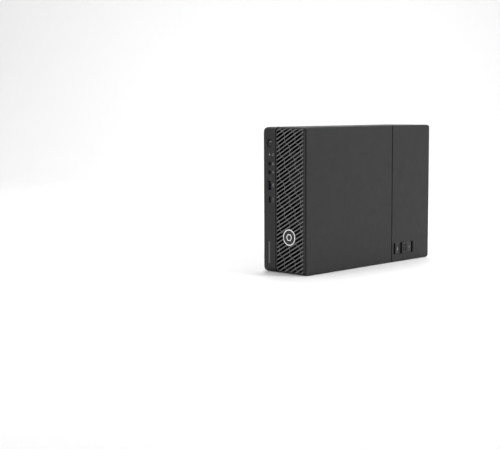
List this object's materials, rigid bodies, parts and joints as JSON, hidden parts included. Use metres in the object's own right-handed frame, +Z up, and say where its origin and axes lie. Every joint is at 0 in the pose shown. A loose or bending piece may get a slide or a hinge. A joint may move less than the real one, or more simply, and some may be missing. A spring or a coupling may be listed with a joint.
{
  "type": "mini computer",
  "caption": "Upright mini computer in a slim steel case with a slatted front grille, a lift-off side cover and a latched cable cover behind.",
  "frame": {"origin": "middle of the footprint it stands on", "axes": "+X towards the removable side cover, -Y out of the front, +Z up"},
  "size_m": [0.0746, 0.264, 0.189],
  "materials": {
    "textured_steel": "fine textured powder coat",
    "cover_plastic": "fine textured moulding",
    "bezel_plastic": "fine textured moulding",
    "grille_plastic": "satin",
    "inner_steel": "zinc plated",
    "bright_metal": "satin bright plating",
    "rubber": "matte",
    "brass": "machined",
    "black_plastic": "fine moulding",
    "light_lens": "clear white lens, unlit",
    "socket_metal": "plated sheet",
    "circuit_board": "solder mask",
    "heatsink_aluminium": "extruded",
    "ferrite": "pressed ferrite",
    "lead_jacket": "smooth jacket",
    "header_plastic": "moulded"
  },
  "bodies": {
    "case": {"chassis_tray": "textured_steel", "rear_panel": "textured_steel", "front_frame": "textured_steel", "front_bezel": "bezel_plastic", "front_grille": "grille_plastic", "front_badge": "bright_metal", "label_strip": "bezel_plastic", "rubber_feet": "rubber", "mounting_inserts": "brass", "power_switch": "black_plastic", "activity_light": "light_lens", "headset_jack": "black_plastic", "line_out_jack": "black_plastic", "front_usb_a_shell": "socket_metal", "front_usb_a_tongue": "black_plastic", "front_usb_c_port": "socket_metal", "system_board": "circuit_board", "board_standoffs": "brass", "board_screws": "bright_metal", "processor_socket": "socket_metal", "processor": "socket_metal", "heatsink": "heatsink_aluminium", "heatsink_screws": "bright_metal", "blower_housing": "black_plastic", "blower_cable": "lead_jacket", "memory_sockets": "black_plastic", "memory_module_lower": "circuit_board", "memory_module_upper": "circuit_board", "ssd_socket": "black_plastic", "ssd_module": "circuit_board", "wireless_card": "circuit_board", "antenna_cables": "lead_jacket", "coin_cell_holder": "black_plastic", "coin_cell": "socket_metal", "chipset_heatsink": "heatsink_aluminium", "regulator_chokes": "ferrite", "capacitors": "heatsink_aluminium", "board_headers": "header_plastic", "speaker": "black_plastic", "dc_inlet": "black_plastic", "display_ports": "socket_metal", "rear_usb_shells": "socket_metal", "rear_usb_tongues": "black_plastic", "network_jack": "socket_metal", "riser_socket": "black_plastic", "riser_card": "circuit_board", "graphics_board": "circuit_board", "graphics_heatsink": "heatsink_aluminium", "graphics_shroud": "black_plastic", "graphics_bracket": "inner_steel", "bracket_screw": "bright_metal", "graphics_ports": "socket_metal"},
    "side_cover": {"side_cover": "textured_steel"},
    "cable_cover": {"cable_cover": "cover_plastic"},
    "lock_slider": {"lock_slider": "black_plastic"},
    "release_slider": {"release_slider": "black_plastic"},
    "power_button": {"power_button": "bezel_plastic"},
    "blower_impeller": {"blower_impeller": "black_plastic"},
    "graphics_fan": {"graphics_fan": "black_plastic"},
    "thumbscrew": {"thumbscrew": "bright_metal"}
  },
  "joints": [
    {"name": "power_button_press", "type": "slide", "parent": "case", "child": "power_button", "axis": [0, 1, 0], "range_m": [0, 0.0008], "stiffness_N_per_m": 400},
    {"name": "side_cover_off", "type": "slide", "parent": "case", "child": "side_cover", "axis": [1, 0, 0], "range_m": [0, 0.1]},
    {"name": "cable_cover_off", "type": "slide", "parent": "case", "child": "cable_cover", "axis": [0, 1, 0], "range_m": [0, 0.1]},
    {"name": "lock_slide", "type": "slide", "parent": "cable_cover", "child": "lock_slider", "axis": [0, 1, 0], "range_m": [0, 0.0032]},
    {"name": "release_slide", "type": "slide", "parent": "cable_cover", "child": "release_slider", "axis": [0, 1, 0], "range_m": [0, 0.004], "stiffness_N_per_m": 300},
    {"name": "blower_spin", "type": "hinge", "parent": "case", "child": "blower_impeller", "pos_m": [-0.0001, -0.067, 0.052], "axis": [1, 0, 0], "continuous": true},
    {"name": "graphics_fan_spin", "type": "hinge", "parent": "case", "child": "graphics_fan", "pos_m": [0.0235, -0.031, 0.14], "axis": [1, 0, 0], "continuous": true},
    {"name": "thumbscrew_turn", "type": "hinge", "parent": "case", "child": "thumbscrew", "pos_m": [0.02875, 0.046, 0.0945], "axis": [0, 1, 0], "continuous": true}
  ]
}
